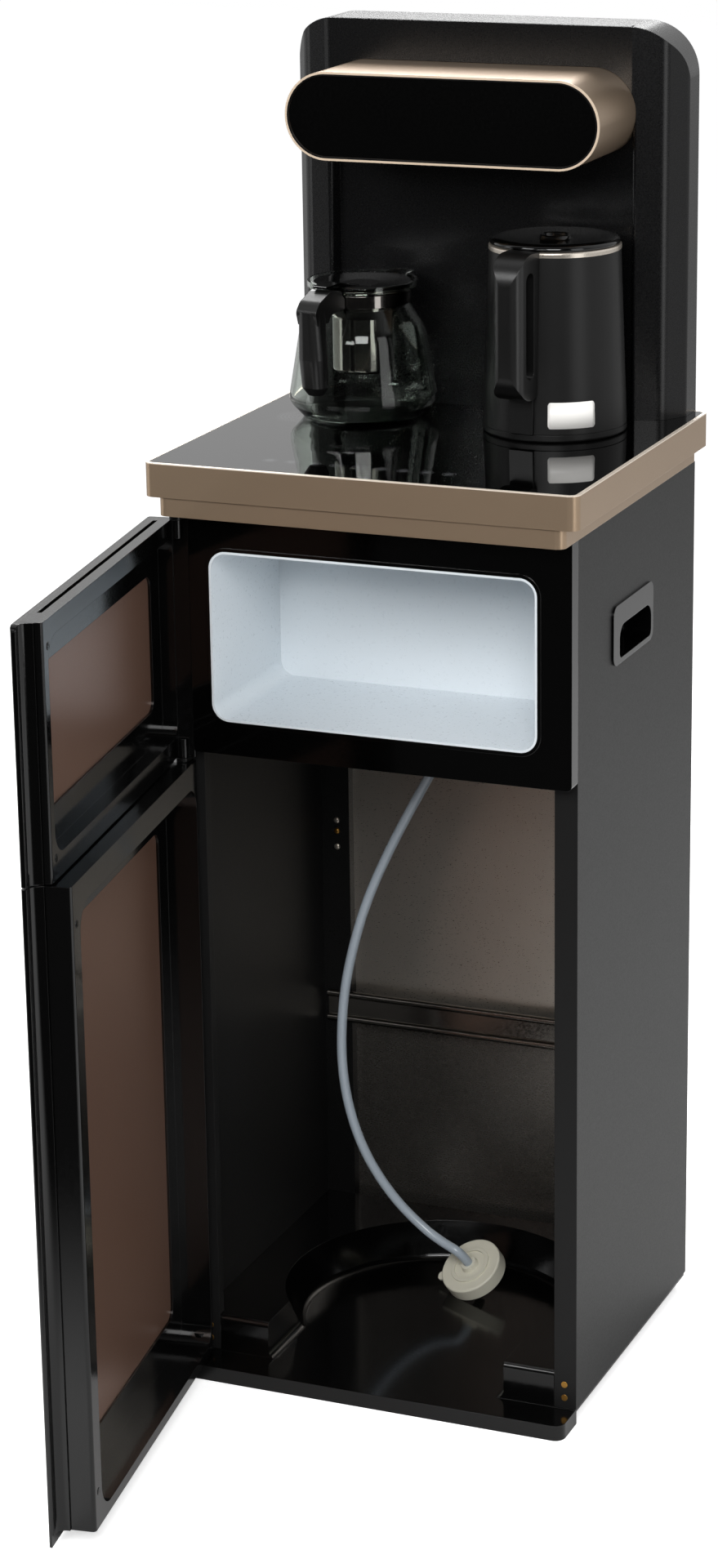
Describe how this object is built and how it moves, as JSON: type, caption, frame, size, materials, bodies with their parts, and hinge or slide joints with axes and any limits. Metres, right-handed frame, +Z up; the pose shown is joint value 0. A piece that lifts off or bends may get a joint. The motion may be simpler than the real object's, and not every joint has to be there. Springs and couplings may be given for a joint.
{
  "type": "bottom load water cooler",
  "caption": "Floor-standing bottom load water cooler: cabinet with two doors, cool box, framed glass worktop with kettle and glass teapot, and a rear tower with an overhanging dispensing head.",
  "frame": {"origin": "middle of the cabinet plan on the floor plane", "axes": "+Z up, the doors and worktop front face -Y, +X to the right seen from the front"},
  "size_m": [0.3489, 0.6042, 1.0445],
  "materials": {
    "champ": "satin champagne",
    "grey": "satin dark grey",
    "black": "fine satin black",
    "gloss": "gloss black",
    "white": "satin white",
    "galv": "galvanised",
    "rubber": "matte",
    "glassblack": "polished black glass",
    "steel": "polished steel",
    "clear": "clear borosilicate",
    "bronze": "satin rose brown",
    "alu": "plain",
    "board": "circuit board green",
    "foam": "expanded foam",
    "ivory": "ivory",
    "silicone": "translucent silicone",
    "brass": "plain"
  },
  "bodies": {
    "cabinet": {"base_feet": "rubber", "base_tray": "black", "bottle_cap": "ivory", "bottle_pump": "white", "cabinet_bezel": "black", "cold_tank": "steel", "control_board": "board", "cord_gland": "black", "counter_band": "champ", "counter_skirt": "champ", "cross_rail": "galv", "display_board": "board", "drain_plugs": "black", "fan_frame": "black", "flange_screws": "brass", "glass_top": "glassblack", "head_panel": "gloss", "head_sleeve": "champ", "heatsink": "alu", "hinge_brackets": "black", "kettle_socket": "black", "power_supply": "alu", "rear_panel_lower": "grey", "rear_panel_upper": "galv", "rear_post_left": "black", "rear_post_right": "black", "rear_screws": "galv", "service_cover": "grey", "service_deck": "galv", "side_handle_left": "black", "side_handle_right": "black", "side_panel_left": "grey", "side_panel_right": "grey", "spouts": "steel", "storage_liner": "white", "suction_hose": "silicone", "tank_insulation": "foam", "thermoelectric_module": "white", "touch_board": "board", "tower_back": "grey", "tower_front": "black", "warming_plate": "alu", "water_lines": "silicone"},
    "upper_door": {"upper_door_frame": "black", "upper_door_shell": "gloss", "upper_door_insert": "bronze"},
    "lower_door": {"lower_door_frame": "black", "lower_door_shell": "gloss", "lower_door_insert": "bronze"},
    "fan": {"fan_rotor": "black"},
    "kettle": {"kettle_shell": "black", "kettle_pot": "steel", "kettle_handle": "black"},
    "kettle_lid": {"kettle_lid": "black"},
    "teapot": {"teapot_glass": "clear", "teapot_handle": "black", "teapot_band": "steel"},
    "infuser": {"teapot_infuser": "steel"},
    "teapot_lid": {"teapot_lid": "gloss"}
  },
  "joints": [
    {"name": "upper_door_swing", "type": "hinge", "parent": "cabinet", "child": "upper_door", "pos_m": [-0.1549, -0.1467, 0.6], "axis": [0, 0, 1], "range_deg": [-28, 81.49]},
    {"name": "lower_door_swing", "type": "hinge", "parent": "cabinet", "child": "lower_door", "pos_m": [-0.1549, -0.1467, 0.26], "axis": [0, 0, 1], "range_deg": [-28, 81.49]},
    {"name": "fan_spin", "type": "hinge", "parent": "cabinet", "child": "fan", "pos_m": [-0.086, 0.12, 0.605], "axis": [0, 1, 0], "continuous": true},
    {"name": "kettle_lift", "type": "slide", "parent": "cabinet", "child": "kettle", "axis": [0, 0, 1], "range_m": [0, 0.015]},
    {"name": "kettle_lid_lift", "type": "slide", "parent": "kettle", "child": "kettle_lid", "axis": [0, 0, 1], "range_m": [0, 0.01]},
    {"name": "teapot_lift", "type": "slide", "parent": "cabinet", "child": "teapot", "axis": [0, 0, 1], "range_m": [0, 0.02]},
    {"name": "infuser_lift", "type": "slide", "parent": "teapot", "child": "infuser", "axis": [0, 0, 1], "range_m": [0, 0.03]},
    {"name": "teapot_lid_lift", "type": "slide", "parent": "infuser", "child": "teapot_lid", "axis": [0, 0, 1], "range_m": [0, 0.015]}
  ]
}
